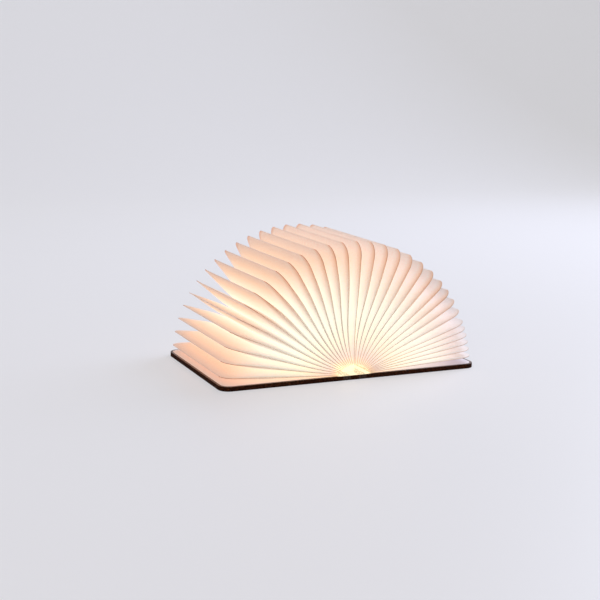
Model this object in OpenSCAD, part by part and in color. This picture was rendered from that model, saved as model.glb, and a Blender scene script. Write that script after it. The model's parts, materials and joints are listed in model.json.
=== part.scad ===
// Folding book lamp, lying open at 180 degrees with its pages fanned out
// X runs across the two covers, Y along the spine and Z up from the table

/* [Covers] */
// Length of the covers and the spine
cover_length = 215; // [190:1:240]
// Reach of each cover from the middle of the spine to its fore-edge
cover_reach = 187; // [180:1:205]
// Thickness of the wooden board
board_thickness = 6; // [5.6:0.1:6.4]
// Radius of the two outer corners of each cover
cover_corner = 14; // [6:1:20]
// Thickness of the paper glued inside each cover
endpaper_thickness = 0.25; // [0.15:0.05:0.3]
// Diameter of the closing magnets
magnet_diameter = 10; // [6:1:12]

/* [Spine] */
// Thickness of the whole lamp when it is closed
closed_thickness = 34; // [33:0.5:37]
// Width of the stiff strip along the middle of the spine
strip_width = 12; // [10:0.5:13]
// Width of the slotted zone that bends, on each side of the strip
flex_width = 11; // [11:2.2:17.6]
// Distance between two rows of slots
slot_pitch = 2.2; // [2:0.2:2.6]
// Width of one slot
slot_width = 0.6; // [0.4:0.1:0.8]
// Number of slots along one row
slots_in_row = 11; // [8:1:16]
// Length of the wood left between two slots of a row
slot_bridge = 3.5; // [2.5:0.5:5]

/* [Pages] */
// Length of a page along the spine
page_length = 211; // [180:1:235]
// Distance from a page's pivot to its fold at the fore-edge
page_reach = 175; // [160:1:177]
// Distance from a page's pivot to its inner edge
page_root = 13; // [12.8:0.1:14]
// Radius of a page's outer corners
page_corner = 13; // [6:1:20]
// Angle at which both sheets of a page run in to its fold
fold_angle = 8.5; // [7:0.5:10]
// Length over which a sheet bends, on each side of the page's widest place
page_bend = 16; // [8:1:16]
// Length at each end of a page over which its two sheets part
page_swell = 50; // [30:5:80]
// Thickness of one sheet of paper
sheet_thickness = 0.2; // [0.15:0.05:0.25]
// Gap left between neighbouring pages
page_gap = 0.1; // [0.05:0.05:0.15]
// Lean of the first page, up from the right-hand cover
first_lean = 176.7; // [176:0.1:177]
// Angle between pages over the left of the fan
left_step = 6.32; // [6.2:0.01:6.4]
// Angle between pages over the top of the fan
top_step = 6.66; // [6.5:0.01:6.7]
// Angle between pages over the upper right of the fan
right_step = 5.42; // [5.2:0.01:5.5]
// Angle between the last pages, close above the right-hand cover
last_step = 3.32; // [3.2:0.01:3.35]

/* [Light bar] */
// Width of the light bar
bar_width = 18.6; // [17:0.2:19]
// Distance from the near end of the spine to the light bar
bar_setback_near = 20; // [10:1:40]
// Distance from the far end of the spine to the light bar
bar_setback_far = 3.5; // [2:0.5:10]
// Number of light-emitting diodes in the row
led_count = 24; // [12:1:28]

/* [Hidden] */
page_count = 31;
left_pages = 13;
top_pages = 21;
right_pages = 25;

half_length = cover_length / 2;
flex_start = strip_width / 2;
flex_end = flex_start + flex_width;
closed_gap_half = closed_thickness / 2 - board_thickness;
inner_face = board_thickness;

pivot_height = inner_face + 0.4;
pivot_span = 2 * (closed_gap_half - 0.65);
pivot_pitch = pivot_span / (page_count - 1);
bend_steps = 3;
closed_half = 0.3;
// Stages of the swelling from an end: how far along it is, and how far the sheets are apart there
swell_stages = [[0.35, 0.75], [1, 1]];

slot_row_length = cover_length / slots_in_row;
rows = round(flex_width / slot_pitch);

endpaper_inner = flex_end + 3;
endpaper_margin = 3;
magnet_x = cover_reach - 15;
magnet_y = half_length - 27;
magnet_height = 2;
magnet_clearance = 0.05;

bar_y0 = -half_length + bar_setback_near;
bar_y1 = half_length - bar_setback_far;
cap_thickness = 1.6;
tray_floor = 1.2;
tray_top = inner_face + 6;
tray_corner = 2.8;
cavity_half = 7;
rebate_half = 7.3;
board_seat = tray_top - 0.5;
led_board_half = 7.2;
led_board_thickness = 1;
diffuser_radius = bar_width / 2;
diffuser_wall = 1.2;
diffuser_centre = inner_face + 3;
fit_gap = 0.05;

battery_size = [13, 112, 4];
battery_y = -20;
socket_size = [8.9, 7.4, 3.2];
charge_board_size = [12, 34, 0.8];
reed_radius = 1.1;
reed_length = 14;
screw_hole = 1.3;
screw_shank = 1.25;
screw_head = 2.4;
screw_y = [bar_y0 + 6, bar_y1 - 52];

$fn = 64;

// Rounds a page's number up to two figures
function two_figures(n) = n < 10 ? str("0", n) : str(n);
page_names = [for (i = [1:page_count]) str("page_", two_figures(i))];

// Angle from the page before to page i, counted from zero
function step_to(i) = i <= left_pages ? left_step
    : i <= top_pages ? top_step
    : i <= right_pages ? right_step : last_step;

// Lean of page i at rest, up from the right-hand cover
function lean(i) = i == 0 ? first_lean : lean(i - 1) - step_to(i);

// Half of the wedge that page i may fill, set by its closer neighbour
function share(i) = i == 0 ? min(180 - first_lean, step_to(1) / 2)
    : i == page_count - 1 ? step_to(i) / 2
    : min(step_to(i), step_to(i + 1)) / 2;

function pivot_x(i) = (i - (page_count - 1) / 2) * pivot_pitch;

// Half thickness of page i at a distance from its pivot, up to where its sheets bend
function half_page(i, r) = pivot_pitch / 2 * sin(lean(i)) + r * tan(share(i)) - page_gap / 2;

// Distance from the pivot at which the wedge of page i meets the straight run in to its fold
function widest(i) = (closed_half + page_reach * tan(fold_angle) - half_page(i, 0))
    / (tan(fold_angle) + tan(share(i)));

function bend_start(i) = widest(i) - page_bend * cos(share(i));

// Angle that a sheet of page i turns through, from its wedge to the run in to the fold
function bend_turn(i) = share(i) + fold_angle;

function bend_radius(i) = page_bend / tan(bend_turn(i) / 2);

// Point of the bend's arc at an angle on from where it leaves the wedge
function bend_point(i, angle) = [
    bend_start(i) + bend_radius(i) * (sin(share(i)) - sin(share(i) - angle)),
    half_page(i, bend_start(i)) + bend_radius(i) * (cos(share(i) - angle) - cos(share(i)))
];

// Upper half of the section of page i in mid-length, from x = root out to its fold
function upper_sheet(i, root) = concat(
    [[root, half_page(i, root)]],
    [for (k = [0:bend_steps]) bend_point(i, k * bend_turn(i) / bend_steps)],
    [[page_reach, closed_half]]
);

// Plan of a sheet that runs from x = a to x = b and has both corners at b rounded
module round_end_plan(a, b, width, radius) {
    union() {
        translate([a, -width / 2]) square([b - radius - a, width]);
        translate([a, -width / 2 + radius]) square([b - a, width - 2 * radius]);
        for (side = [-1, 1])
            translate([b - radius, side * (width / 2 - radius)]) circle(r = radius);
    }
}

// Wooden board of one cover, with blind pockets for its two magnets
module cover_board() {
    color("#3a2118")
    difference() {
        linear_extrude(height = board_thickness)
            round_end_plan(flex_end, cover_reach, cover_length, cover_corner);
        for (side = [-1, 1])
            translate([magnet_x, side * magnet_y, inner_face - magnet_height - 2 * magnet_clearance])
                cylinder(r = magnet_diameter / 2 + magnet_clearance, h = magnet_height + 1);
    }
}

module endpaper() {
    color("#fff6e8")
    translate([0, 0, inner_face])
        linear_extrude(height = endpaper_thickness)
            round_end_plan(endpaper_inner, cover_reach - endpaper_margin,
                cover_length - 2 * endpaper_margin, cover_corner - 2);
}

module magnet(side) {
    color("silver")
    translate([magnet_x, side * magnet_y, inner_face - magnet_height - magnet_clearance])
        cylinder(d = magnet_diameter, h = magnet_height);
}

// One row of slots; every second row is shifted by half a slot and runs out at both ends
module slot_row(row) {
    shift = row % 2 == 0 ? 0 : slot_row_length / 2;
    x = flex_start + (row + 0.5) * slot_pitch;
    for (k = [0:slots_in_row])
        translate([x - slot_width / 2, -half_length + slot_bridge / 2 + k * slot_row_length - shift])
            square([slot_width, slot_row_length - slot_bridge]);
}

// Bending zone of the spine: the board is cut through by staggered rows of slots
module spine_flex() {
    color("#4a2b1c")
    linear_extrude(height = board_thickness)
        difference() {
            translate([flex_start, -half_length]) square([flex_width, cover_length]);
            for (row = [0:rows - 1]) slot_row(row);
        }
}

// Stiff middle of the spine, with countersunk holes for the screws of the light bar
module spine_strip() {
    color("#3a2118")
    difference() {
        translate([-flex_start, -half_length, 0])
            cube([strip_width, cover_length, board_thickness]);
        for (y = screw_y)
            translate([0, y, -1]) {
                cylinder(r = screw_hole, h = board_thickness + 2);
                cylinder(r = screw_head + fit_gap, h = 1.6);
                translate([0, 0, 1.6])
                    cylinder(r1 = screw_head + fit_gap, r2 = screw_hole,
                        h = screw_head + fit_gap - screw_hole);
            }
    }
}

// Countersunk screw from below the strip up into the floor of the tray
module tray_screw(y) {
    color("#7d7d80")
    translate([0, y, 0.1]) {
        cylinder(r = screw_head - fit_gap, h = 0.4);
        translate([0, 0, 0.4])
            cylinder(r1 = screw_head - fit_gap, r2 = screw_shank, h = screw_head - fit_gap - screw_shank);
        cylinder(r = screw_shank, h = inner_face + tray_floor - 0.2);
    }
}

// Outer section of the tray: a flat floor, round lower corners and upright walls
module tray_section() {
    h = bar_width / 2;
    union() {
        translate([-h + tray_corner, inner_face]) square([2 * (h - tray_corner), tray_corner]);
        translate([-h, inner_face + tray_corner]) square([2 * h, tray_top - inner_face - tray_corner]);
        for (side = [-1, 1])
            translate([side * (h - tray_corner), inner_face + tray_corner]) circle(r = tray_corner);
    }
}

// Section of the diffuser, grown inward or outward by a wall
module dome_section(wall) {
    intersection() {
        translate([0, diffuser_centre]) circle(r = diffuser_radius - wall);
        translate([-bar_width, tray_top - wall]) square([2 * bar_width, bar_width]);
    }
}

// Sweeps a section drawn across the spine along it, from y0 to y1
module along_spine(y0, y1) {
    translate([0, y1, 0]) rotate([90, 0, 0]) linear_extrude(height = y1 - y0) children();
}

module light_tray() {
    color("#e8e6e0")
    difference() {
        along_spine(bar_y0 + cap_thickness, bar_y1 - cap_thickness)
            difference() {
                tray_section();
                translate([-cavity_half, inner_face + tray_floor]) square([2 * cavity_half, bar_width]);
                translate([-rebate_half, board_seat]) square([2 * rebate_half, bar_width]);
            }
        for (y = screw_y)
            translate([0, y, inner_face - 1]) cylinder(r = screw_shank + fit_gap, h = tray_floor + 2);
    }
}

module light_diffuser() {
    color("#fffbe0")
    along_spine(bar_y0 + cap_thickness, bar_y1 - cap_thickness)
        difference() {
            dome_section(0);
            dome_section(diffuser_wall);
        }
}

// Section that the end caps share: the tray's outline with the dome on it
module cap_section() {
    tray_section();
    dome_section(0);
}

module light_cap_near() {
    color("#e8e6e0")
    along_spine(bar_y0, bar_y0 + cap_thickness) cap_section();
}

// Rounded section of the charging socket, centred on its own axis
module socket_section(grow) {
    r = socket_size[2] / 2 + grow;
    straight = socket_size[0] - socket_size[2];
    square([straight, 2 * r], center = true);
    for (side = [-1, 1]) translate([side * straight / 2, 0]) circle(r = r);
}

socket_z = inner_face + tray_floor + charge_board_size[2] + socket_size[2] / 2 + fit_gap;

module light_cap_far() {
    color("#e8e6e0")
    along_spine(bar_y1 - cap_thickness, bar_y1)
        difference() {
            cap_section();
            translate([0, socket_z]) socket_section(fit_gap);
        }
}

// Metal shell of the charging socket with the tongue inside it
module charge_socket() {
    color("silver")
    difference() {
        translate([0, 0, socket_z])
            along_spine(bar_y1 - socket_size[1], bar_y1) socket_section(0);
        difference() {
            translate([0, 0, socket_z])
                along_spine(bar_y1 - socket_size[1] + 1, bar_y1 + 1) socket_section(-0.35);
            translate([-3.3, bar_y1 - socket_size[1], socket_z - 0.35])
                cube([6.6, socket_size[1] - 0.9, 0.7]);
        }
    }
}

module charge_board() {
    color("#1f6b3a")
    translate([-charge_board_size[0] / 2, bar_y1 - cap_thickness - charge_board_size[1] - 0.2,
            inner_face + tray_floor])
        cube(charge_board_size);
}

// Flat pouch cell with rounded long edges
module battery() {
    color("#5f8fb8")
    translate([0, 0, inner_face + tray_floor])
        along_spine(battery_y - battery_size[1] / 2, battery_y + battery_size[1] / 2) {
            translate([-battery_size[0] / 2 + 1.5, 0])
                square([battery_size[0] - 3, battery_size[2]]);
            translate([-battery_size[0] / 2, 1.5])
                square([battery_size[0], battery_size[2] - 3]);
            for (side = [-1, 1], z = [1.5, battery_size[2] - 1.5])
                translate([side * (battery_size[0] / 2 - 1.5), z]) circle(r = 1.5);
        }
}

module led_board() {
    color("#f4f4f4")
    translate([-led_board_half, bar_y0 + cap_thickness + 1, board_seat])
        cube([2 * led_board_half, bar_y1 - bar_y0 - 2 * cap_thickness - 2, led_board_thickness]);
}

// Row of square light-emitting diodes with their round windows
module led_row() {
    span = bar_y1 - bar_y0 - 16;
    color("#ffe9a0")
    for (k = [0:led_count - 1])
        translate([0, bar_y0 + 8 + k * span / (led_count - 1), board_seat + led_board_thickness])
            difference() {
                translate([-1.75, -1.4, 0]) cube([3.5, 2.8, 0.8]);
                translate([0, 0, 0.6]) cylinder(r1 = 1.1, r2 = 1.25, h = 0.3);
            }
}

// Small glass switch that the magnet of a closing cover works
module reed_switch() {
    color("#b9d8d0")
    translate([3.5, battery_y + battery_size[1] / 2 + 4 + reed_length,
            inner_face + tray_floor + reed_radius])
        rotate([90, 0, 0]) cylinder(r = reed_radius, h = reed_length);
}

// Section of page i, one wall in from its outside. Its sheets are this share of the way apart:
// they lie along the neighbours, bend at the widest place and run in to the fold.
module page_section(i, open, wall, root) {
    upper = [for (p = upper_sheet(i, root))
        [min(p[0], page_reach - 1.5 * wall), max(open * p[1], closed_half) - wall]];
    polygon(concat(upper, [for (k = [len(upper) - 1:-1:0]) [upper[k][0], -upper[k][1]]]));
}

// Shape of page i, drawn with its pivot at the origin and its fold at the right.
// Its sheets lie together along both ends and the fold, and swell apart between the ends.
module page_shape(i, wall, root) {
    hull() {
        linear_extrude(height = 2 * (closed_half - wall), center = true)
            round_end_plan(root, page_reach - 1.5 * wall, page_length - 3 * wall, page_corner - wall,
                $fn = 32);
        for (stage = swell_stages) {
            y = page_length / 2 - stage[0] * page_swell;
            along_spine(-y, y) page_section(i, stage[1], wall, root);
        }
    }
}

// Hollow page: one sheet folded at the fore-edge, with its outer corners rounded
module page(i) {
    color("#fff3df")
    translate([pivot_x(i), 0, pivot_height])
        rotate([0, -lean(i), 0])
            difference() {
                page_shape(i, 0, page_root);
                page_shape(i, sheet_thickness, page_root - 1);
            }
}

mirror([1, 0, 0]) cover_board();  // cover_left_board
cover_board();  // cover_right_board
mirror([1, 0, 0]) endpaper();  // endpaper_left
endpaper();  // endpaper_right
spine_strip();
mirror([1, 0, 0]) spine_flex();  // spine_flex_left
spine_flex();  // spine_flex_right
mirror([1, 0, 0]) magnet(-1);  // magnet_left_near
mirror([1, 0, 0]) magnet(1);  // magnet_left_far
magnet(-1);  // magnet_right_near
magnet(1);  // magnet_right_far
light_tray();
light_diffuser();
light_cap_near();
light_cap_far();
led_board();
led_row();
battery();
charge_board();
charge_socket();
reed_switch();
tray_screw(screw_y[0]);  // tray_screw_near
tray_screw(screw_y[1]);  // tray_screw_far
for (i = [0:page_count - 1])
    page(i);
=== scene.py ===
# %% [markdown]
# # Folding book lamp
# This lamp is made like a hardback book. Two walnut covers are joined by a slotted wooden spine
# that bends, and 31 folded sheets of spun-bonded paper stand in a fan over a light bar. It could
# be modelled from nothing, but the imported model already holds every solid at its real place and
# size, so all that is made here starts from its frame.

import json
import math

import bpy
from mathutils import Matrix, Vector


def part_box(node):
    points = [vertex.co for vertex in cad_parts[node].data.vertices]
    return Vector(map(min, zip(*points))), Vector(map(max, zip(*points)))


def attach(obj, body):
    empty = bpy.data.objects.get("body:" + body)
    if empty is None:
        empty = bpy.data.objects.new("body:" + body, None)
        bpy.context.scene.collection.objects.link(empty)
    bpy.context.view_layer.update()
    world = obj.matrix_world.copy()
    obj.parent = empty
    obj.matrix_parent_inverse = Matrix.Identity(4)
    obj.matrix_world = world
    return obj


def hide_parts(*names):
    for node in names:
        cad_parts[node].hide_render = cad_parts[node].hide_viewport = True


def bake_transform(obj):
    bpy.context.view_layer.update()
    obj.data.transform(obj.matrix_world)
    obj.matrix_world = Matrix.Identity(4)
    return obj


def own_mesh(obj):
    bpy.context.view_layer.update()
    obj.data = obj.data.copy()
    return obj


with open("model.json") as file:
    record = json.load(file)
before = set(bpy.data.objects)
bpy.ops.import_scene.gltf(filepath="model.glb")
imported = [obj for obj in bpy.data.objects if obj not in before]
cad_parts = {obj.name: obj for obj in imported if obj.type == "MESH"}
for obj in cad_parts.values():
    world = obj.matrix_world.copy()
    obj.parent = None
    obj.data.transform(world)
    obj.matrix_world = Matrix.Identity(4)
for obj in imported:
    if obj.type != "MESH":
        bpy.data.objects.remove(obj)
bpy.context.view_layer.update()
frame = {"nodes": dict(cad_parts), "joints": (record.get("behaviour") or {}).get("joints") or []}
nodes = frame["nodes"]
MM = 0.001

# %% [markdown]
# Colours are written as sRGB hex values, as a paint chart gives them, and one function turns them
# into the linear values that the shader works with. Nodes could be added and linked one line at a
# time, but a second function adds a node with its settings and what feeds it, and a third reads a
# list of sums, so that a formula in a node tree stays readable.

# %% Helpers for colours and nodes
def linear(hex_colour):
    """Linear RGBA of an sRGB hex colour."""
    parts = [int(hex_colour[i:i + 2], 16) / 255 for i in (1, 3, 5)]
    return [c / 12.92 if c <= 0.04045 else ((c + 0.055) / 1.055) ** 2.4 for c in parts] + [1.0]


def add(tree, kind, inputs=(), stops=(), **settings):
    """Adds a node. inputs maps a socket's name or number to a value, a socket or a node, which
    stands for its first output. stops are a colour ramp's (position, hex colour) pairs."""
    node = tree.nodes.new(kind)
    for name, value in settings.items():
        setattr(node, name, value)
    for key, value in dict(inputs).items():
        source = value.outputs[0] if isinstance(value, bpy.types.Node) else value
        if isinstance(source, bpy.types.NodeSocket):
            tree.links.new(source, node.inputs[key])
        else:
            node.inputs[key].default_value = source
    if stops:
        elements = node.color_ramp.elements
        while len(elements) < len(stops):
            elements.new(1.0)
        for element, (position, colour) in zip(elements, stops):
            element.position, element.color = position, linear(colour)
    return node


def calculate(tree, known, steps):
    """Adds a Math or Map Range node for each step. A step is (its name, operation, terms), and a
    term is a number or the name of an input or an earlier step. Returns every name with its
    socket."""
    known = dict(known)
    for name, operation, *terms in steps:
        values = [known[term] if isinstance(term, str) else term for term in terms]
        if operation == "RANGE":
            sockets = ("Value", "From Min", "From Max", "To Min", "To Max")
            node = add(tree, "ShaderNodeMapRange", zip(sockets, values))
        else:
            node = add(tree, "ShaderNodeMath", enumerate(values), operation=operation)
        known[name] = node.outputs[0]
    return known


def new_material(name, colour, **shader_values):
    """A material with a Principled shader, whose constants are set on the shader's own sockets."""
    material = bpy.data.materials.new(name)
    material.use_nodes = True
    shader = material.node_tree.nodes["Principled BSDF"]
    shader.inputs["Base Color"].default_value = linear(colour)
    for socket, value in shader_values.items():
        shader.inputs[socket.replace("_", " ")].default_value = value
    return material, material.node_tree, shader


def show(name, data):
    """Puts a mesh, a camera or a light into the scene as an object at the origin."""
    piece = bpy.data.objects.new(name, data)
    bpy.context.scene.collection.objects.link(piece)
    return piece


print("white is", linear("#ffffff")[:3])

# %% [markdown]
# The camera stands where the photograph's camera stood: low, to the left of the spine's near end,
# and about 1.7 m away. It could be placed by eye, but its place was worked out from the page
# corners in the photograph, so that the render can be laid over it. The lens is given by the
# picture's focal length in pixels, because the picture is a square of 600 pixels.

# %% Camera at the photograph's viewing angle
CAMERA_PLACE = Vector((-711.5, -1486.2, 411.0)) * MM
CAMERA_AZIMUTH = math.radians(-24.55)
CAMERA_ELEVATION = math.radians(11.16)
CAMERA_ROLL = math.radians(1.18)
PICTURE_SIDE = 600
FOCAL_PIXELS = 1213.3
SENSOR_MM = 36

camera = show("camera", bpy.data.cameras.new("camera"))
camera.data.sensor_width = SENSOR_MM
camera.data.lens = FOCAL_PIXELS * SENSOR_MM / PICTURE_SIDE
back = Vector((math.sin(CAMERA_AZIMUTH) * math.cos(CAMERA_ELEVATION),
               -math.cos(CAMERA_AZIMUTH) * math.cos(CAMERA_ELEVATION),
               math.sin(CAMERA_ELEVATION)))
turn = (-back).to_track_quat("-Z", "Y").to_matrix() @ Matrix.Rotation(CAMERA_ROLL, 3, "Z")
camera.matrix_world = Matrix.Translation(CAMERA_PLACE) @ turn.to_4x4()
bpy.context.scene.camera = camera
print("lens in mm:", round(camera.data.lens, 1))

# %% [markdown]
# The lamp stands on a plain pale floor that curves up into a backdrop, like a photographer's paper
# sweep. A flat floor and a wall would do as well, but their line would cross the picture. The rays
# that show the background see the sweep partly as plain white, which keeps it pale without more
# light on the lamp, and the rest keeps the shadow.

# %% Floor and backdrop
SWEEP_HALF_WIDTH = 6.0
SWEEP_FRONT = -4.0
SWEEP_BACK = 3.0
SWEEP_RADIUS = 1.2
SWEEP_HEIGHT = 5.0
SWEEP_ARC_STEPS = 16
WHITE_SHARE = 0.55

profile = [(SWEEP_FRONT, 0.0)]
for k in range(SWEEP_ARC_STEPS + 1):
    angle = math.pi / 2 * k / SWEEP_ARC_STEPS
    profile.append((SWEEP_BACK - SWEEP_RADIUS + SWEEP_RADIUS * math.sin(angle),
                    SWEEP_RADIUS - SWEEP_RADIUS * math.cos(angle)))
profile.append((SWEEP_BACK, SWEEP_HEIGHT))
points = [(side * SWEEP_HALF_WIDTH, y, z) for y, z in profile for side in (-1, 1)]
strips = [(2 * k, 2 * k + 1, 2 * k + 3, 2 * k + 2) for k in range(len(profile) - 1)]
sweep_mesh = bpy.data.meshes.new("sweep")
sweep_mesh.from_pydata(points, [], strips)
for face in sweep_mesh.polygons:
    face.use_smooth = True
show("sweep", sweep_mesh)


def seen_rays(tree):
    """1 for the rays that show the background: camera, glossy and transmission rays."""
    path = add(tree, "ShaderNodeLightPath").outputs
    rays = {name: path[name] for name in
            ("Is Camera Ray", "Is Glossy Ray", "Is Transmission Ray")}
    return calculate(tree, rays, [
        ("either", "MAXIMUM", "Is Camera Ray", "Is Glossy Ray"),
        ("any", "MAXIMUM", "either", "Is Transmission Ray"),
    ])["any"]


sweep_material, tree, shader = new_material("matt painted sweep", "#e4e2e6", Roughness=0.4)
seen_white = [("share", "MULTIPLY", "seen", WHITE_SHARE)]
share = calculate(tree, {"seen": seen_rays(tree)}, seen_white)["share"]
white = add(tree, "ShaderNodeEmission", {"Color": linear("#f6f5f8"), "Strength": 1.0})
mixed = add(tree, "ShaderNodeMixShader", {"Fac": share, 1: shader, 2: white})
tree.links.new(mixed.outputs[0], tree.nodes["Material Output"].inputs["Surface"])
sweep_mesh.materials.append(sweep_material)
print("sweep of", len(sweep_mesh.polygons), "faces")

# %% [markdown]
# Two large soft boxes and a pale sky light the lamp at a plain level, at which a colour renders
# about as it is written. Small lamps would be simpler, but daylight in a room has no hard shadows.
# The cooler box stands where the daylight comes from, to the right and behind. The rays that show
# the background see a brighter sky than the one that lights the lamp.

# %% Sky and soft boxes
SKY_LEVEL = 0.28
SKY_SEEN_LEVEL = 0.82
LAMP_MIDDLE = Vector((0, 0, 0.08))

world = bpy.data.worlds.new("studio sky")
world.use_nodes = True
bpy.context.scene.world = world
tree = world.node_tree
sky_levels = [("level", "RANGE", "seen", 0.0, 1.0, SKY_LEVEL, SKY_SEEN_LEVEL)]
sky_level = calculate(tree, {"seen": seen_rays(tree)}, sky_levels)["level"]
sky = tree.nodes["Background"]
sky.inputs["Color"].default_value = linear("#f4f6fb")
tree.links.new(sky_level, sky.inputs["Strength"])


def soft_box(name, place, side, watts, colour):
    """A square area lamp that points at the middle of the lamp."""
    lamp = bpy.data.lights.new(name, "AREA")
    lamp.size = side
    lamp.energy = watts
    lamp.color = linear(colour)[:3]
    holder = show(name, lamp)
    holder.location = place
    holder.rotation_mode = "QUATERNION"
    holder.rotation_quaternion = (LAMP_MIDDLE - Vector(place)).to_track_quat("-Z", "Y")


soft_box("daylight_side", place=(1.8, 0.6, 1.5), side=1.6, watts=48, colour="#dde6ff")
soft_box("front_fill", place=(-1.6, -1.8, 1.7), side=1.8, watts=14, colour="#fff4ea")
bpy.context.scene.view_settings.view_transform = "Standard"

# %% [markdown]
# The pages and endpapers are spun-bonded polyethylene paper: white, and matted from fibres that
# show as a fine unevenness in slanting light. They could be drawn one by one as hairs, but a noise
# at their size that raises the surface a little gives the same look for nothing.

# %% Fibres of the paper
def paper_fibres(tree, shader, strength):
    """Bump of the matted fibres of spun-bonded paper. Real fibre bundles are 0.1 to 0.5 mm wide,
    and are drawn 1.5 mm wide so that they show."""
    place = add(tree, "ShaderNodeTexCoord").outputs["Object"]
    fibres = add(tree, "ShaderNodeTexNoise",
                 {"Vector": place, "Scale": 1 / (1.5 * MM), "Detail": 3.0, "Roughness": 0.6})
    bump = add(tree, "ShaderNodeBump",
               {"Strength": strength, "Distance": 0.05 * MM, "Height": fibres})
    tree.links.new(bump.outputs["Normal"], shader.inputs["Normal"])
    return fibres


print("fibres are for the pages and the endpapers")

# %% [markdown]
# The paper is thin enough for light to pass. With the lamp on, each sheet is lit along its length,
# so it glows cream near the light bar and fades to peach and pink at its fold. Real lamps inside
# the arch and a paper that lets light through would be slow and grainy, and the export would lose
# them. So the glow is part of the paper, as emission, and a list of sums says where how much light
# falls. It reads two measures that each page carries: how far a point is along the page, from 0 at
# the inner edge to 1 at the fold, and how far it is from the nearer end.

# %% Where the light falls on a page
REACH = "reach"
TO_EDGE = "to_edge"

PAPER_LIGHT = [
    # how steeply a point lies over the covers: 0 flat beside the spine, 1 straight above it
    ("aside", "ABSOLUTE", "x"),
    ("span", "ADD", "aside", "z"),
    ("rise", "DIVIDE", "z", "span"),
    # the closed ends of the standing pages get less light than the swollen middle, most of all
    # near the fold
    ("from depth", "RANGE", TO_EDGE, 0.0, 13 * MM, 1.0, 0.0),
    ("soft depth", "POWER", "from depth", 1.6),
    ("outward", "RANGE", REACH, 0.45, 0.9, 0.0, 1.0),
    ("outer end", "MULTIPLY", "soft depth", "outward"),
    ("standing", "RANGE", "rise", 0.25, 0.45, 0.0, 1.0),
    ("near end", "MULTIPLY", "outer end", "standing"),
    # daylight outshines the glow on its side
    ("day side", "RANGE", "x", 0.0, 160 * MM, 0.0, 1.0),
    # the light bar shines up, so the pages close to the left cover get less of it
    ("low part", "RANGE", "rise", 0.04, 0.3, 1.0, 0.0),
    ("left side", "RANGE", "x", 0.0, -30 * MM, 0.0, 1.0),
    ("low", "MULTIPLY", "low part", "left side"),
    # the laser's heat tans the last millimetres before a cut edge; the band also darkens them as
    # painted shade, to mark the lines between the pages
    ("tan and shade by cut", "RANGE", TO_EDGE, 0.0, 1.5 * MM, 0.5, 0.0),
]
print("light on a page in", len(PAPER_LIGHT), "sums")

# %% [markdown]
# The paper's skin is calendered smooth, which gives the eye a soft matt white with no gloss. When
# light comes through, the fibres show as fine clouds. One ramp gives the glow along a page and a
# second one the cooler glow on the side of the daylight. The sums above mix them and tint the
# parts that get less light, so the colours stay apart from the places where they are used.

# %% Paper of the pages
MIX = {"data_type": "RGBA"}
MULTIPLY = {"data_type": "RGBA", "blend_type": "MULTIPLY"}
GLOW = [(0.0, "#f0d8ac"), (0.015, "#a48c74"), (0.074, "#8e807a"), (0.228, "#979282"),
        (0.383, "#9a998b"), (0.537, "#99988b"), (0.69, "#9c9488"), (0.815, "#9a8878"),
        (0.907, "#97765b"), (1.0, "#84624c")]
GLOW_BY_DAY = [(0.0, "#f0d8ac"), (0.015, "#a48c74"), (0.074, "#8e807a"), (0.228, "#969082"),
               (0.537, "#9a9893"), (0.69, "#948f8b"), (0.815, "#8a8182"), (0.907, "#746864"),
               (1.0, "#5a4e46")]


def page_paper():
    """Spun-bonded paper, calendered smooth: a soft matt skin, with clouds where light comes
    through."""
    material, tree, shader = new_material("spun-bonded page paper, lit from within", "#f0ebe6",
                                          Roughness=0.75, Emission_Strength=1.0)
    place = add(tree, "ShaderNodeTexCoord").outputs["Object"]
    place = add(tree, "ShaderNodeSeparateXYZ", {0: place}).outputs
    known = {name: add(tree, "ShaderNodeAttribute", attribute_name=name).outputs["Fac"]
             for name in (REACH, TO_EDGE)}
    share = calculate(tree, {**known, "x": place["X"], "z": place["Z"]}, PAPER_LIGHT)
    fibres = paper_fibres(tree, shader, strength=0.25)
    # the glow: along the page, by day, low over the left cover, at the ends, and in the fibres
    glow = add(tree, "ShaderNodeValToRGB", {"Fac": share[REACH]}, stops=GLOW)
    by_day = add(tree, "ShaderNodeValToRGB", {"Fac": share[REACH]}, stops=GLOW_BY_DAY)
    clouds = add(tree, "ShaderNodeValToRGB", {"Fac": fibres},
                 stops=[(0.3, "#ece4de"), (0.55, "#ffffff")])
    glow = add(tree, "ShaderNodeMix", {"Factor": share["day side"], 6: glow, 7: by_day}, **MIX)
    for where, tint in ((share["low"], linear("#ffe6d6")), (share["near end"], linear("#edb688")),
                        (1.0, clouds)):
        glow = add(tree, "ShaderNodeMix", {"Factor": where, 6: glow.outputs[2], 7: tint},
                   **MULTIPLY)
    # the skin under the room's light: fibres, painted warm shade at the closed ends,
    # and the cut's laser tan with painted shade along it
    skin = add(tree, "ShaderNodeValToRGB", {"Fac": fibres},
               stops=[(0.35, "#e9e3dd"), (0.65, "#f5f0ec")])
    skin = add(tree, "ShaderNodeMix",
               {"Factor": share["near end"], 6: skin, 7: linear("#ffe2c8")}, **MULTIPLY)
    # painted shade with the laser's tan: the base darkens over the last 1.5 mm before a cut edge
    skin = add(tree, "ShaderNodeMix",
               {"Factor": share["tan and shade by cut"], 6: skin.outputs[2], 7: linear("#c89c74")}, **MIX)
    tree.links.new(skin.outputs[2], shader.inputs["Base Color"])
    tree.links.new(glow.outputs[2], shader.inputs["Emission Color"])
    return material


PAGE_PAPER = page_paper()
print("paper:", PAGE_PAPER.name)
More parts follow.
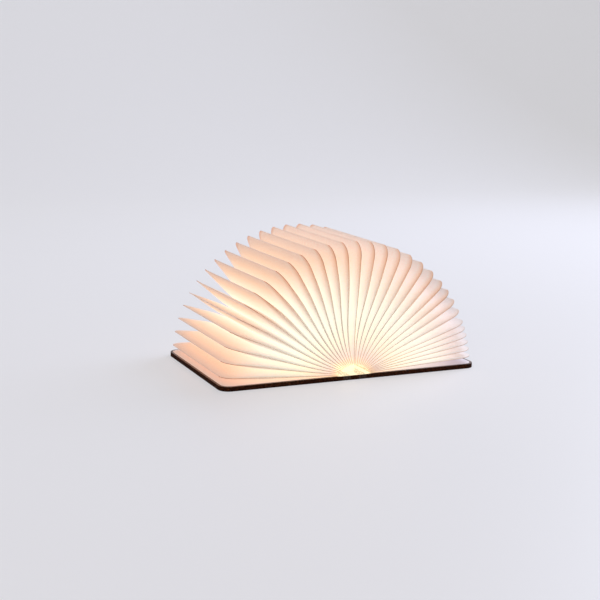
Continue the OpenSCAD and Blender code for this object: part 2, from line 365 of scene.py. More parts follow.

# %% [markdown]
# The pages are cut by a laser, whose heat leaves the edge brown and dull. It is painted darker
# still, as painted shade of the unlit edges and the narrow gaps between the pages. The eye reads
# these thin brown lines as the fan's drawing. Painting them on the paper would blur them, so the
# edge is a material of its own, on the faces that the sheet's thickness makes. Towards the
# daylight the edges are painted paler, as painted daylight.

# %% Cut edge of the pages
def page_edge():
    """Edge of the same paper, cut by a laser: brown and dull, darkened further as painted shade,
    and painted paler towards the daylight.
    """
    material, tree, shader = new_material("laser-cut paper edge", "#80604a",
                                          Roughness=0.9, Emission_Strength=0.5)
    place = add(tree, "ShaderNodeTexCoord").outputs["Object"]
    place = add(tree, "ShaderNodeSeparateXYZ", {0: place}).outputs
    pale = calculate(tree, {"x": place["X"]},
                     [("pale", "RANGE", "x", -40 * MM, 100 * MM, 0.0, 0.8)])["pale"]
    reach = add(tree, "ShaderNodeAttribute", attribute_name=REACH).outputs["Fac"]
    glow = add(tree, "ShaderNodeValToRGB", {"Fac": reach},
               stops=[(0.0, "#f4dcb4"), (0.1, "#d0b898"), (0.35, "#a89078"), (0.7, "#785a46"),
                      (1.0, "#60443a")])
    # painted shade: the laser's brown made darker, and painted paler with daylight on its side
    skin = add(tree, "ShaderNodeMix",
               {"Factor": pale, 6: linear("#80604a"), 7: linear("#dcc4b4")}, **MIX)
    glow = add(tree, "ShaderNodeMix", {"Factor": pale, 6: glow, 7: linear("#b0a094")}, **MIX)
    tree.links.new(skin.outputs[2], shader.inputs["Base Color"])
    tree.links.new(glow.outputs[2], shader.inputs["Emission Color"])
    return material


PAGE_EDGE = page_edge()
print("edge:", PAGE_EDGE.name)

# %% [markdown]
# Paper and the slotted board are sheets of one even thickness. A Solidify modifier could give a
# skin its thickness, but it would have to be added to each piece after its tree has run. So a
# group that the trees share sinks the skin by the wall, pulls it back out and closes the rim: the
# sheet is a solid, and the group also says which of its faces are cut edges.

# %% A shared group that gives a skin its thickness
WELD = 0.005 * MM


def thicken_group():
    """Node group: turns an outward-facing skin into a closed sheet that lies below it."""
    tree = bpy.data.node_groups.new("skin to sheet", "GeometryNodeTree")
    tree.interface.new_socket("Sheet", in_out="OUTPUT", socket_type="NodeSocketGeometry")
    tree.interface.new_socket("Cut edge", in_out="OUTPUT", socket_type="NodeSocketBool")
    tree.interface.new_socket("Skin", in_out="INPUT", socket_type="NodeSocketGeometry")
    tree.interface.new_socket("Wall", in_out="INPUT", socket_type="NodeSocketFloat")
    given = add(tree, "NodeGroupInput").outputs
    depth = add(tree, "ShaderNodeMath", {0: given["Wall"], 1: -1.0}, operation="MULTIPLY")
    sink = add(tree, "ShaderNodeVectorMath",
               {0: add(tree, "GeometryNodeInputNormal"), "Scale": depth}, operation="SCALE")
    inner = add(tree, "GeometryNodeSetPosition", {"Geometry": given["Skin"], "Offset": sink})
    raised = add(tree, "GeometryNodeExtrudeMesh",
                 {"Mesh": inner, "Offset Scale": given["Wall"], "Individual": False})
    base = add(tree, "GeometryNodeFlipFaces", {"Mesh": inner})
    both = add(tree, "GeometryNodeJoinGeometry", {0: raised})
    tree.links.new(base.outputs["Mesh"], both.inputs[0])
    closed = add(tree, "GeometryNodeMergeByDistance", {"Geometry": both, "Distance": WELD})
    add(tree, "NodeGroupOutput", {"Sheet": closed, "Cut edge": raised.outputs["Side"]})
    return tree


SKIN_TO_SHEET = thicken_group()
print("group:", SKIN_TO_SHEET.name)

# %% [markdown]
# So each tree is run once for each piece, with that piece's own values, and its result is kept as
# a mesh.

# %% Run a tree and keep its result as a plain mesh
def grow(name, tree, values):
    """Runs a Geometry Nodes tree with these input values and returns the result as a mesh."""
    piece = show(name, bpy.data.meshes.new(name))
    modifier = piece.modifiers.new("tree", "NODES")
    modifier.node_group = tree
    for socket in tree.interface.items_tree:
        if socket.in_out == "INPUT":
            modifier[socket.identifier] = values[socket.name]
    evaluated = piece.evaluated_get(bpy.context.evaluated_depsgraph_get())
    mesh = bpy.data.meshes.new_from_object(evaluated)
    piece.modifiers.clear()
    empty_mesh, piece.data = piece.data, mesh
    bpy.data.meshes.remove(empty_mesh)
    mesh.name = name
    return piece


print("ready to run trees with", grow.__name__)

# %% [markdown]
# A page is one sheet folded at the fore-edge, with two rounded corners, and its two halves are
# joined along both ends. Between its ends it swells like a pillow: the halves lie along the
# neighbouring pages, bend at their widest place and run in to the fold. The closed ends sway a
# little to one side. Each page could be modelled by hand, or by a cloth simulation, but all of
# them follow from a few sizes. So one rule gives every page as a grid: X runs from one inner edge
# over the fold to the other, and Y runs along the spine, with its lines closer together near the
# ends.

# %% The rule of a page's shape
HALF_STEPS = 24
ALONG_STEPS = 32
CORNER_SHARE = 1 / 3
SWAY_TURN = 1.45 * math.pi

PAGE_SIZES = ("Reach", "Inner edge", "Corner radius", "Length", "Start half", "Wedge",
              "Fold angle", "Bend", "Closed half", "Swell", "Sway", "Sheet", "Pivot x",
              "Pivot height", "Lean")
PAGE_RULE = [
    ("from fold", "ABSOLUTE", "grid x"),
    ("other side", "MULTIPLY", "grid x", -1.0),
    ("side", "SIGN", "other side"),
    # distance from the pivot: a straight part, and a part that follows the rounded corner
    ("corner angle", "RANGE", "from fold", 0.0, CORNER_SHARE, math.pi / 2, 0.0),
    ("sine", "SINE", "corner angle"),
    ("straight end", "SUBTRACT", "Reach", "Corner radius"),
    ("straight", "RANGE", "from fold", 1.0, CORNER_SHARE, "Inner edge", "straight end"),
    ("distance", "MULTIPLY_ADD", "Corner radius", "sine", "straight"),
    ("share of reach", "RANGE", "distance", "Inner edge", "Reach", 0.0, 1.0),
    # place along the spine: the half length is full up to the corner, and less round it
    ("cosine", "COSINE", "corner angle"),
    ("shorter", "SUBTRACT", 1.0, "cosine"),
    ("inset", "MULTIPLY", "Corner radius", "shorter"),
    ("full half length", "MULTIPLY", "Length", 0.5),
    ("half length", "SUBTRACT", "full half length", "inset"),
    ("along angle", "MULTIPLY", "grid y", math.pi / 2),
    ("along", "SINE", "along angle"),
    ("place along", "MULTIPLY", "half length", "along"),
    ("off middle", "ABSOLUTE", "place along"),
    ("to edge", "SUBTRACT", "half length", "off middle"),
    # swelling: a quarter of a circle, from closed at the end to full
    ("flat share", "RANGE", "to edge", 0.0, "Swell", 1.0, 0.0),
    ("flat squared", "MULTIPLY", "flat share", "flat share"),
    ("round rest", "SUBTRACT", 1.0, "flat squared"),
    ("swollen", "SQRT", "round rest"),
    # half thickness: along the wedge, then along the run in to the fold, with a bend between them
    ("wedge slope", "TANGENT", "Wedge"),
    ("on wedge", "MULTIPLY_ADD", "distance", "wedge slope", "Start half"),
    ("fold slope", "TANGENT", "Fold angle"),
    ("to fold", "SUBTRACT", "Reach", "distance"),
    ("on run in", "MULTIPLY_ADD", "to fold", "fold slope", "Closed half"),
    ("full half", "SMOOTH_MIN", "on wedge", "on run in", "Bend"),
    ("swollen half", "MULTIPLY", "full half", "swollen"),
    ("half", "MAXIMUM", "swollen half", "Closed half"),
    # round nose of the fold
    ("nose start", "SUBTRACT", "Reach", "Closed half"),
    ("nose run", "RANGE", "distance", "nose start", "Reach", 0.0, 1.0),
    ("nose squared", "MULTIPLY", "nose run", "nose run"),
    ("nose rest", "SUBTRACT", 1.0, "nose squared"),
    ("nose", "SQRT", "nose rest"),
    ("half here", "MULTIPLY", "half", "nose"),
    # sway of the closed ends: one way in the inner half and a little the other way near the fold
    ("sway angle", "MULTIPLY", "share of reach", SWAY_TURN),
    ("sway sine", "SINE", "sway angle"),
    ("sway rest", "SUBTRACT", 1.0, "share of reach"),
    ("sway shape", "MULTIPLY", "sway sine", "sway rest"),
    ("sway at end", "MULTIPLY", "sway shape", "Sway"),
    ("unswollen", "SUBTRACT", 1.0, "swollen"),
    ("centre", "MULTIPLY", "sway at end", "unswollen"),
    ("height", "MULTIPLY_ADD", "half here", "side", "centre"),
    ("lean back", "MULTIPLY", "Lean", -1.0),
]
print("page rule of", len(PAGE_RULE), "steps")

# %% [markdown]
# The rule becomes a Geometry Nodes tree: a flat grid goes in, its points move to the places that
# the sums give, and the shared group makes the skin a sheet. The page is drawn lying flat at the
# origin first, because its sums are simplest there, and is then turned and moved to its pivot. On
# the way it keeps the two measures that the paper's glow reads.

# %% The tree that draws one page
def page_tree():
    """Geometry Nodes tree of one folded page, with its sizes as inputs, in metres and radians."""
    tree = bpy.data.node_groups.new("folded page", "GeometryNodeTree")
    tree.interface.new_socket("Geometry", in_out="OUTPUT", socket_type="NodeSocketGeometry")
    for name in PAGE_SIZES:
        tree.interface.new_socket(name, in_out="INPUT", socket_type="NodeSocketFloat")
    for name in ("Paper", "Cut edge"):
        tree.interface.new_socket(name, in_out="INPUT", socket_type="NodeSocketMaterial")
    size = add(tree, "NodeGroupInput").outputs
    grid = add(tree, "GeometryNodeMeshGrid", {"Size X": 2.0, "Size Y": 2.0,
                                              "Vertices X": 2 * HALF_STEPS + 1,
                                              "Vertices Y": ALONG_STEPS + 1})
    place = add(tree, "ShaderNodeSeparateXYZ", {0: add(tree, "GeometryNodeInputPosition")}).outputs
    known = {name: size[name] for name in PAGE_SIZES}
    known.update({"grid x": place["X"], "grid y": place["Y"]})
    known = calculate(tree, known, PAGE_RULE)
    shape = add(tree, "ShaderNodeCombineXYZ",
                {"X": known["distance"], "Y": known["place along"], "Z": known["height"]})
    marked = add(tree, "GeometryNodeStoreNamedAttribute",
                 {"Geometry": grid, "Name": REACH, "Value": known["share of reach"]})
    marked = add(tree, "GeometryNodeStoreNamedAttribute",
                 {"Geometry": marked, "Name": TO_EDGE, "Value": known["to edge"]})
    skin = add(tree, "GeometryNodeSetPosition", {"Geometry": marked, "Position": shape})
    sheet = add(tree, "GeometryNodeGroup", {"Skin": skin, "Wall": size["Sheet"]},
                node_tree=SKIN_TO_SHEET)
    tilt = add(tree, "ShaderNodeCombineXYZ", {"Y": known["lean back"]})
    pivot = add(tree, "ShaderNodeCombineXYZ", {"X": size["Pivot x"], "Z": size["Pivot height"]})
    placed = add(tree, "GeometryNodeTransform",
                 {"Geometry": sheet.outputs["Sheet"], "Rotation": tilt, "Translation": pivot})
    smooth = add(tree, "GeometryNodeSetShadeSmooth", {"Geometry": placed, "Shade Smooth": True})
    real = add(tree, "GeometryNodeRealizeInstances", {"Geometry": smooth})
    papered = add(tree, "GeometryNodeSetMaterial", {"Geometry": real, "Material": size["Paper"]})
    edged = add(tree, "GeometryNodeSetMaterial",
                {"Geometry": papered, "Material": size["Cut edge"],
                 "Selection": sheet.outputs["Cut edge"]})
    add(tree, "NodeGroupOutput", {"Geometry": edged})
    return tree


PAGE_TREE = page_tree()
print("page tree has", len(PAGE_TREE.nodes), "nodes")

# %% [markdown]
# The real pages aren't spread evenly: they stand evenly over the left and the top, closer on the
# upper right, and closest above the right-hand cover. An even fan would be simpler, but the uneven
# one is what the photograph shows. Angles are in degrees, counted up from the right-hand cover.

# %% Sizes of the fan
PAGE_LENGTH = 211 * MM
PAGE_REACH = 175 * MM
PAGE_ROOT = 13 * MM
PAGE_CORNER = 18 * MM
PAGE_GAP = 0.1 * MM
PAGE_SWELL = 50 * MM
PAGE_BEND = 16 * MM
# a smooth minimum fades out at both ends of the bend, so it is spread over more than the bend
BEND_SPREAD = 1.5
FOLD_ANGLE = math.radians(8.5)
CLOSED_HALF = 0.3 * MM
SHEET = 0.25 * MM
SWAY = 8 * MM
CROWDED_SWAY_POWER = 2.3
LEFT_COVER = 180
UPRIGHT = 90
FIRST_LEAN = 176.7
STEPS = [6.32] * 13 + [6.66] * 8 + [5.42] * 4 + [3.32] * 5

leans = [FIRST_LEAN]
for step in STEPS:
    leans.append(leans[-1] - step)
page_joints = {joint["child"]: joint for joint in frame["joints"]
               if joint["child"].startswith("page_")}
page_names = sorted(page_joints)
pitch = page_joints[page_names[1]]["pos_m"][0] - page_joints[page_names[0]]["pos_m"][0]
print("pages:", len(page_names), "leans from", leans[0], "to", round(leans[-1], 2))

# %% [markdown]
# Each page turns with its own body, at the share of its cover's turn that the record gives. A page
# that kept its swelling would cut through its neighbours in the closed book, and nothing here
# flattens it as its cover folds.

# %% Make the pages
def make_page(i, name):
    """Page i of the fan, ready on its body."""
    joint = page_joints[name]
    pivot = Vector(joint["pos_m"])
    lean = math.radians(leans[i])
    # a page fills half the step to its closer neighbour, but it stays on its own side of upright,
    # where the other side's pages stand folded, and a page that has less room also sways less
    half_step = min(([2 * (LEFT_COVER - FIRST_LEAN)] + STEPS)[i:i + 2]) / 2
    wedge = math.radians(min(half_step, abs(leans[i] - UPRIGHT)))
    sway = SWAY * (wedge / math.radians(half_step)) ** CROWDED_SWAY_POWER
    page = grow(name + "_sheet", PAGE_TREE, {
        "Reach": PAGE_REACH, "Inner edge": PAGE_ROOT, "Corner radius": PAGE_CORNER,
        "Length": PAGE_LENGTH, "Start half": pitch / 2 * math.sin(lean) - PAGE_GAP / 2,
        "Wedge": wedge, "Fold angle": FOLD_ANGLE,
        "Bend": BEND_SPREAD * PAGE_BEND * (math.tan(wedge) + math.tan(FOLD_ANGLE)),
        "Closed half": CLOSED_HALF, "Swell": PAGE_SWELL, "Sway": sway * math.sin(lean),
        "Sheet": SHEET, "Pivot x": pivot.x, "Pivot height": pivot.z, "Lean": lean,
        "Paper": PAGE_PAPER, "Cut edge": PAGE_EDGE})
    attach(page, name)
    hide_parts(name)
    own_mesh(page)
    return page


pages = [make_page(i, name) for i, name in enumerate(page_names)]
print("made", len(pages), "pages of", len(pages[0].data.vertices), "points")

# %% [markdown]
# The covers are walnut veneer on fibreboard with a thin satin lacquer. They were cut by a laser,
# so the cut sides are charred nearly black, with a browner mottle where the glue line burnt less.
# The grain runs along the spine. The sides could be a material of their own, but the covers are
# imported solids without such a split. The direction of a face in the object's own space tells a cut
# side from the veneer, and that holds while a cover folds, because it turns with the piece. It
# doesn't hold for the last bar of a bent slotted zone, which then looks charred.

# %% Walnut with charred edges
LIT_REACH = 20 * MM
GRAIN = (1 / (7 * MM), 1 / (90 * MM), 1 / (7 * MM))
PORES = (1 / (0.9 * MM), 1 / (14 * MM), 1 / (0.9 * MM))


def walnut(name, veneer_dark, veneer_light):
    """Lacquered walnut veneer with laser-charred sides."""
    material, tree, shader = new_material(name, veneer_dark, Coat_Roughness=0.3,
                                          Emission_Color=linear("#fff0c8"))
    place = add(tree, "ShaderNodeTexCoord").outputs
    # figure: bands 7 mm wide and 90 mm long; pores: streaks 0.9 mm wide, drawn wider than real
    # ones so that they show
    bands = add(tree, "ShaderNodeMapping", {"Vector": place["Object"], "Scale": GRAIN})
    figure = add(tree, "ShaderNodeTexNoise", {"Vector": bands, "Scale": 1.0, "Detail": 5.0,
                                              "Roughness": 0.6, "Distortion": 0.6})
    streaks = add(tree, "ShaderNodeMapping", {"Vector": place["Object"], "Scale": PORES})
    pores = add(tree, "ShaderNodeTexNoise", {"Vector": streaks, "Scale": 1.0, "Detail": 2.0})
    wood = add(tree, "ShaderNodeValToRGB", {"Fac": figure},
               stops=[(0.3, veneer_dark), (0.7, veneer_light)])
    pore_shade = add(tree, "ShaderNodeValToRGB", {"Fac": pores},
                     stops=[(0.36, "#8a7468"), (0.5, "#ffffff")])
    veneer = add(tree, "ShaderNodeMix", {"Factor": 1.0, 6: wood, 7: pore_shade}, **MULTIPLY)
    # burnt side: soot with a brown mottle 3 mm across
    mottle = add(tree, "ShaderNodeTexNoise", {"Vector": place["Object"], "Scale": 1 / (3 * MM),
                                              "Detail": 6.0, "Roughness": 0.7})
    char = add(tree, "ShaderNodeValToRGB", {"Fac": mottle},
               stops=[(0.35, "#1c0a04"), (0.52, "#341709"), (0.7, "#683618")])
    up = add(tree, "ShaderNodeSeparateXYZ", {0: place["Normal"]}).outputs["Z"]
    x = add(tree, "ShaderNodeSeparateXYZ", {0: place["Object"]}).outputs["X"]
    cut = calculate(tree, {"up": up, "x": x}, [
        ("flat", "ABSOLUTE", "up"),
        ("side", "RANGE", "flat", 0.4, 0.6, 1.0, 0.0),
        ("rough", "RANGE", "side", 0.0, 1.0, 0.45, 0.9),
        ("shine", "RANGE", "side", 0.0, 1.0, 0.5, 0.1),
        ("coat", "RANGE", "side", 0.0, 1.0, 0.25, 0.0),
        # the upper face close to the light bar is lit by it
        ("from spine", "ABSOLUTE", "x"),
        ("close", "RANGE", "from spine", LIT_REACH, 1.3 * LIT_REACH, 1.0, 0.0),
        ("upper", "RANGE", "up", 0.4, 0.6, 0.0, 1.0),
        ("lit", "MULTIPLY", "close", "upper"),
    ])
    wood_or_char = add(tree, "ShaderNodeMix",
                       {"Factor": cut["side"], 6: veneer.outputs[2], 7: char}, **MIX)
    tree.links.new(wood_or_char.outputs[2], shader.inputs["Base Color"])
    for part, socket in (("rough", "Roughness"), ("shine", "Specular IOR Level"),
                         ("coat", "Coat Weight"), ("lit", "Emission Strength")):
        tree.links.new(cut[part], shader.inputs[socket])
    bump = add(tree, "ShaderNodeBump", {"Strength": 0.4, "Distance": 0.1 * MM, "Height": pores})
    tree.links.new(bump.outputs["Normal"], shader.inputs["Normal"])
    return material


WALNUT = walnut("walnut veneer, satin lacquer, laser-cut", "#4c3022", "#7a5238")
print("wood:", WALNUT.name)

# %% [markdown]
# Each endpaper is a single sheet of the page paper, laminated to the inside of its cover. Glued
# flat, it looks duller and smoother than the pages. It is lit by the pages above it, brightest by
# the spine and bluish at the outer end of the daylight's side. As with the pages, this light is
# emission.

# %% Paper of the endpapers
def endpaper_paper():
    """Spun-bonded paper glued flat to the board, warmed by the light of the pages over it."""
    material, tree, shader = new_material("spun-bonded endpaper, laminated", "#efe2d8",
                                          Roughness=0.7, Emission_Strength=0.45)
    paper_fibres(tree, shader, strength=0.2)
    place = add(tree, "ShaderNodeTexCoord").outputs["Object"]
    x = add(tree, "ShaderNodeSeparateXYZ", {0: place}).outputs["X"]
    share = calculate(tree, {"x": x},
                      [("share", "RANGE", "x", -PAGE_REACH, PAGE_REACH, 0.0, 1.0)])["share"]
    glow = add(tree, "ShaderNodeValToRGB", {"Fac": share}, stops=[
        (0.0, "#b09a92"), (0.3, "#d0b4a4"), (0.45, "#ffe0b0"), (0.55, "#ffe0b8"),
        (0.75, "#b8b4c0"), (1.0, "#587098")])
    tree.links.new(glow.outputs["Color"], shader.inputs["Emission Color"])
    return material


ENDPAPER = endpaper_paper()
print("endpaper:", ENDPAPER.name)

# %% [markdown]
# An endpaper's outline has two rounded outer corners and a pressed edge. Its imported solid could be
# shown as it is, but its sharp edge catches no light. So the sheet is drawn again inside the
# solid's own box, point by point round its outline, and a small bevel presses its edge.

# %% Endpapers
ENDPAPER_CORNER = 12 * MM
ENDPAPER_CORNER_STEPS = 10
ENDPAPER_EDGE = 0.08 * MM


def endpaper_mesh(name, low, high, material):
    """A sheet between two opposite corners of its box, with both outer corners rounded."""
    side = 1 if high[0] > -low[0] else -1
    inner, outer = (low[0], high[0]) if side > 0 else (high[0], low[0])
    outline = [(inner, low[1])]
    for corner_y, start in ((low[1] + ENDPAPER_CORNER, -90), (high[1] - ENDPAPER_CORNER, 0)):
        for k in range(ENDPAPER_CORNER_STEPS + 1):
            angle = math.radians(start + 90 * k / ENDPAPER_CORNER_STEPS)
            outline.append((outer - side * ENDPAPER_CORNER * (1 - math.cos(angle)),
                            corner_y + ENDPAPER_CORNER * math.sin(angle)))
    outline.append((inner, high[1]))
    if side < 0:
        outline.reverse()
    mesh = bpy.data.meshes.new(name)
    count = len(outline)
    points = [(x, y, z) for z in (low[2], high[2]) for x, y in outline]
    faces = [tuple(reversed(range(count))), tuple(range(count, 2 * count))]
    faces += [(k, (k + 1) % count, count + (k + 1) % count, count + k) for k in range(count)]
    mesh.from_pydata(points, [], faces)
    mesh.materials.append(material)
    return mesh


for side in ("left", "right"):
    node = "endpaper_" + side
    piece = show(node + "_sheet", endpaper_mesh(node, *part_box(node), ENDPAPER))
    edge = piece.modifiers.new("pressed edge", "BEVEL")
    edge.width = ENDPAPER_EDGE
    edge.segments = 2
    edge.limit_method = "ANGLE"
    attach(piece, "cover_" + side)
    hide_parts(node)
print("endpapers made")

# %% [markdown]
# The slotted zones of the spine are a living hinge: rows of slots, each row shifted by half a
# slot, leave a mesh of thin bars that twist a little each, so that stiff board bends. Cutting each
# slot with a Boolean would work, but the rule is simple on a grid whose lines lie on the slots'
# sides and ends: drop the cells that are slots, and give the rest its thickness. The first rule
# puts the grid's lines in their places.

# %% Where the lines of the slotted board lie
SLOT_ROWS = 5
SLOTS_IN_ROW = 11
SLOT_PITCH = 2.2 * MM
SLOT_WIDTH = 0.6 * MM
SLOT_BRIDGE = 3.5 * MM
# counts get this much on top, so that rounding down can't give the whole number below
SAFE = 0.2

FLEX_SIZES = ("Start", "Width", "Length", "Top", "Board", "Pitch", "Slot", "Bridge",
              "Row length")
LINE_RULE = [
    # across: after the first line, lines come in pairs, one on each side of a row of slots
    ("column up", "ADD", "column", SAFE - 1),
    ("column half", "MULTIPLY", "column up", 0.5),
    ("slot row", "FLOOR", "column half"),
    ("column pair", "MULTIPLY", "slot row", 2.0),
    ("in column pair", "SUBTRACT", "column up", "column pair"),
    ("right side", "GREATER_THAN", "in column pair", SAFE + 0.5),
    ("side step", "SUBTRACT", "right side", 0.5),
    ("slot row middle", "ADD", "slot row", 0.5),
    ("slot middle", "MULTIPLY", "slot row middle", "Pitch"),
    ("slot side", "MULTIPLY_ADD", "side step", "Slot", "slot middle"),
    ("not below", "MAXIMUM", "slot side", 0.0),
    ("across", "MINIMUM", "not below", "Width"),
    ("x", "ADD", "across", "Start"),
    # along: lines come in pairs, one on each side of a bridge, and bridges are half a slot apart
    ("line up", "ADD", "line", SAFE),
    ("line half", "MULTIPLY", "line up", 0.5),
    ("bridge number", "FLOOR", "line half"),
    ("line pair", "MULTIPLY", "bridge number", 2.0),
    ("in line pair", "SUBTRACT", "line up", "line pair"),
    ("far side", "GREATER_THAN", "in line pair", SAFE + 0.5),
    ("end step", "SUBTRACT", "far side", 0.5),
    ("half slot", "MULTIPLY", "Row length", 0.5),
    ("bridge middle", "MULTIPLY", "bridge number", "half slot"),
    ("bridge side", "MULTIPLY_ADD", "end step", "Bridge", "bridge middle"),
    ("not before", "MAXIMUM", "bridge side", 0.0),
    ("not after", "MINIMUM", "not before", "Length"),
    ("half whole", "MULTIPLY", "Length", 0.5),
    ("y", "SUBTRACT", "not after", "half whole"),
]
print("rule of the lines:", len(LINE_RULE), "steps")

# %% [markdown]
# The second rule says which cells of that grid are slots. A list of the slots' places would do it
# too, but the middle of a cell already tells: it is in a slot if it lies on the middle line of a
# row and isn't on one of that row's bridges.

# %% Which cells of the board are slots
ON_LINE = 0.1

SLOT_RULE = [
    ("in width", "SUBTRACT", "cell x", "Start"),
    ("rows in", "DIVIDE", "in width", "Pitch"),
    ("row share", "FRACT", "rows in"),
    ("off middle", "SUBTRACT", "row share", 0.5),
    ("off row", "ABSOLUTE", "off middle"),
    ("on row", "LESS_THAN", "off row", ON_LINE),
    ("row number", "FLOOR", "rows in"),
    ("odd row", "MODULO", "row number", 2.0),
    ("half whole", "MULTIPLY", "Length", 0.5),
    ("in length", "ADD", "cell y", "half whole"),
    ("slots in", "DIVIDE", "in length", "Row length"),
    ("shifted", "MULTIPLY_ADD", "odd row", 0.5, "slots in"),
    ("centred", "ADD", "shifted", 0.5),
    ("slot share", "FRACT", "centred"),
    ("off bridge", "SUBTRACT", "slot share", 0.5),
    ("from bridge", "ABSOLUTE", "off bridge"),
    ("reach from bridge", "MULTIPLY", "from bridge", "Row length"),
    ("half bridge", "MULTIPLY", "Bridge", 0.5),
    ("between bridges", "GREATER_THAN", "reach from bridge", "half bridge"),
    ("slot", "MULTIPLY", "on row", "between bridges"),
]
print("rule of the slots:", len(SLOT_RULE), "steps")

# %% [markdown]
# One tree draws the slotted zone of either side. It counts the lines of a plain grid, moves them
# by the first rule, drops the cells that the second rule names, and makes the rest a board with
# the group that the pages use. The faces that the group marks as cut get the charred material.

# %% The tree that draws a slotted board
def flex_tree():
    """Geometry Nodes tree of one slotted zone: a grid on the slots' edges, cut and thickened."""
    tree = bpy.data.node_groups.new("slotted board", "GeometryNodeTree")
    tree.interface.new_socket("Geometry", in_out="OUTPUT", socket_type="NodeSocketGeometry")
    for name in FLEX_SIZES:
        tree.interface.new_socket(name, in_out="INPUT", socket_type="NodeSocketFloat")
    for name in ("Veneer", "Char"):
        tree.interface.new_socket(name, in_out="INPUT", socket_type="NodeSocketMaterial")
    size = add(tree, "NodeGroupInput").outputs
    columns = 2 * SLOT_ROWS + 2
    lines = 2 * (2 * SLOTS_IN_ROW + 1)
    grid = add(tree, "GeometryNodeMeshGrid", {"Size X": columns - 1.0, "Size Y": lines - 1.0,
                                              "Vertices X": columns, "Vertices Y": lines})
    place = add(tree, "ShaderNodeSeparateXYZ", {0: add(tree, "GeometryNodeInputPosition")}).outputs
    known = {name: size[name] for name in FLEX_SIZES}
    counted = calculate(tree, {"grid x": place["X"], "grid y": place["Y"]},
                        [("column", "ADD", "grid x", (columns - 1) / 2),
                         ("line", "ADD", "grid y", (lines - 1) / 2)])
    spread = calculate(tree, {**known, **counted}, LINE_RULE)
    shape = add(tree, "ShaderNodeCombineXYZ",
                {"X": spread["x"], "Y": spread["y"], "Z": size["Top"]})
    skin = add(tree, "GeometryNodeSetPosition", {"Geometry": grid, "Position": shape})
    cells = {**known, "cell x": place["X"], "cell y": place["Y"]}
    slot = calculate(tree, cells, SLOT_RULE)["slot"]
    cut = add(tree, "GeometryNodeDeleteGeometry", {"Geometry": skin, "Selection": slot},
              domain="FACE")
    board = add(tree, "GeometryNodeGroup", {"Skin": cut, "Wall": size["Board"]},
                node_tree=SKIN_TO_SHEET)
    real = add(tree, "GeometryNodeRealizeInstances", {"Geometry": board.outputs["Sheet"]})
    veneered = add(tree, "GeometryNodeSetMaterial",
                   {"Geometry": real, "Material": size["Veneer"]})
    charred = add(tree, "GeometryNodeSetMaterial",
                  {"Geometry": veneered, "Material": size["Char"],
                   "Selection": board.outputs["Cut edge"]})
    add(tree, "NodeGroupOutput", {"Geometry": charred})
    return tree


FLEX_TREE = flex_tree()
print("slotted board tree has", len(FLEX_TREE.nodes), "nodes")

# %% [markdown]
# Inside the slots the eye sees soot on brown fibreboard, without any gloss. The zones could ride
# on one body each, but then the spine would tear at the fold. Here each is only drawn in its
# place at rest, on no body.

# %% Make the slotted zones
def charred_wood():
    """Side of a laser cut through fibreboard: soot over brown, quite dull, mottled at 3 mm."""
    material, tree, shader = new_material("laser-charred fibreboard", "#24150e", Roughness=0.85)
    place = add(tree, "ShaderNodeTexCoord").outputs["Object"]
    mottle = add(tree, "ShaderNodeTexNoise",
                 {"Vector": place, "Scale": 1 / (3 * MM), "Detail": 6.0})
    soot = add(tree, "ShaderNodeValToRGB", {"Fac": mottle},
               stops=[(0.35, "#1c100b"), (0.75, "#4a2d1d")])
    tree.links.new(soot.outputs["Color"], shader.inputs["Base Color"])
    return material


CHAR = charred_wood()
for side in ("left", "right"):
    node = "spine_flex_" + side
    low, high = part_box(node)
    piece = grow(node + "_slotted", FLEX_TREE, {
        "Start": low[0], "Width": high[0] - low[0], "Length": high[1] - low[1], "Top": high[2],
        "Board": high[2] - low[2], "Pitch": SLOT_PITCH, "Slot": SLOT_WIDTH, "Bridge": SLOT_BRIDGE,
        "Row length": (high[1] - low[1]) / SLOTS_IN_ROW, "Veneer": WALNUT, "Char": CHAR})
    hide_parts(node)
    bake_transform(piece)
    print(piece.name, "has", len(piece.data.polygons), "faces")

# %% [markdown]
# The light bar is an extruded tray of white ABS with a frosted polycarbonate lens, and inside it
# are the board with its diodes, a pouch cell, the charging board and a glass reed switch. These
# solids are rigid and already have their shape, so each only gets the finish of what it is made
# of. They could have one material each, written out, but two ways of making cover them all:
# moulded plastic or glass, and brushed or rolled metal.

# %% Moulded and brushed finishes
BRUSH_WIDTH_MM = 0.3
BRUSH_SPREAD = 0.08


def moulded(name, colour, roughness, grain_mm, strength, **shader_values):
    """Moulded plastic: nearly even colour with the fine bump that the mould's surface leaves."""
    material, tree, shader = new_material(name, colour, Roughness=roughness, **shader_values)
    place = add(tree, "ShaderNodeTexCoord").outputs["Object"]
    grain = add(tree, "ShaderNodeTexNoise",
                {"Vector": place, "Scale": 1 / (grain_mm * MM), "Detail": 2.0})
    bump = add(tree, "ShaderNodeBump",
               {"Strength": strength, "Distance": 0.02 * MM, "Height": grain})
    tree.links.new(bump.outputs["Normal"], shader.inputs["Normal"])
    return material


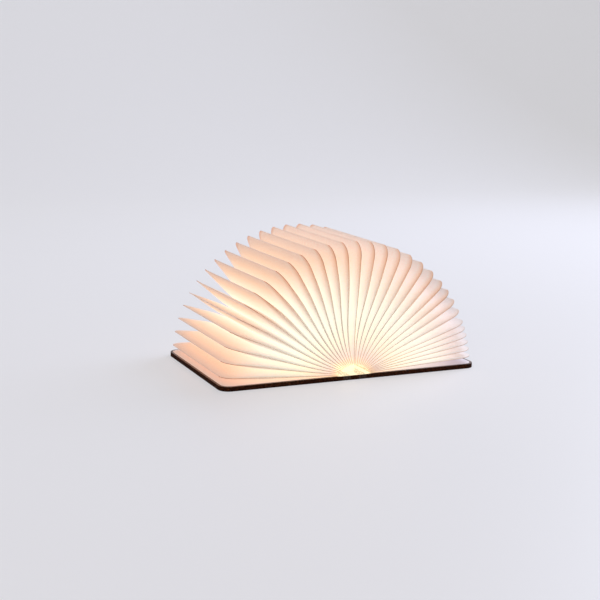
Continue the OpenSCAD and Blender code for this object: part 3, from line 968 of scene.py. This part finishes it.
def brushed(name, colour, roughness, length_mm):
    """Metal with fine lines from brushing or rolling, long across Y and short across the rest,
    that make its gloss uneven. They are drawn wider than real ones so that they show."""
    material, tree, shader = new_material(name, colour, Metallic=1.0)
    place = add(tree, "ShaderNodeTexCoord").outputs["Object"]
    across, along = 1 / (BRUSH_WIDTH_MM * MM), 1 / (length_mm * MM)
    lines = add(tree, "ShaderNodeMapping", {"Vector": place, "Scale": (across, along, across)})
    marks = add(tree, "ShaderNodeTexNoise", {"Vector": lines, "Scale": 1.0, "Detail": 3.0})
    rough_steps = [("rough", "RANGE", "marks", 0.3, 0.7,
                    roughness - BRUSH_SPREAD, roughness + BRUSH_SPREAD)]
    rough = calculate(tree, {"marks": marks.outputs[0]}, rough_steps)["rough"]
    tree.links.new(rough, shader.inputs["Roughness"])
    return material


print("finishes:", moulded.__name__, "and", brushed.__name__)

# %% [markdown]
# The parts that shine, which are the tray, the lens and the diodes, get their light as emission,
# for the same reason as the paper. Every solid that is still shown gets its finish by its name,
# and the ones that aren't named are the wooden ones.

# %% Finish each solid
GLOW_WARM = linear("#ffe6a8")
MILKY = moulded("milky moulded ABS, lit through", "#e8dcc0", 0.4, 0.6, 0.2,
                Emission_Color=linear("#fff0c4"), Emission_Strength=0.8)
FROSTED = moulded("frosted polycarbonate lens", "#fff2cc", 0.5, 0.5, 0.3,
                  Emission_Color=GLOW_WARM, Emission_Strength=1.0)
PHOSPHOR = moulded("diode package with phosphor", "#ffe07a", 0.3, 1.0, 0.1,
                   Emission_Color=GLOW_WARM, Emission_Strength=1.0)
ZINC = brushed("zinc-plated screw steel", "#a4a5a6", 0.4, 1.0)
NICKEL = brushed("nickel plating", "#c4c0b8", 0.25, 1.0)
finish_of = {
    "light_tray": MILKY, "light_cap_near": MILKY, "light_cap_far": MILKY,
    "light_diffuser": FROSTED, "led_row": PHOSPHOR,
    "led_board": moulded("white solder mask", "#f2f1ec", 0.5, 1.0, 0.1),
    "battery": moulded("aluminised pouch foil", "#7f9cb4", 0.4, 1.5, 0.4, Metallic=0.6),
    "charge_board": moulded("green solder mask", "#1f6b3a", 0.35, 0.8, 0.2),
    "charge_socket": brushed("stamped steel shell", "#b8b9bc", 0.35, 3.0),
    "reed_switch": moulded("glass of a reed switch", "#c4dcd4", 0.1, 2.0, 0.1),
    "tray_screw_near": ZINC, "tray_screw_far": ZINC,
}
for name, node in nodes.items():
    if not node.hide_render:
        finish = NICKEL if name.startswith("magnet") else finish_of.get(name, WALNUT)
        node.data.materials.clear()
        node.data.materials.append(finish)
print("finished nodes:", sum(not node.hide_render for node in nodes.values()))
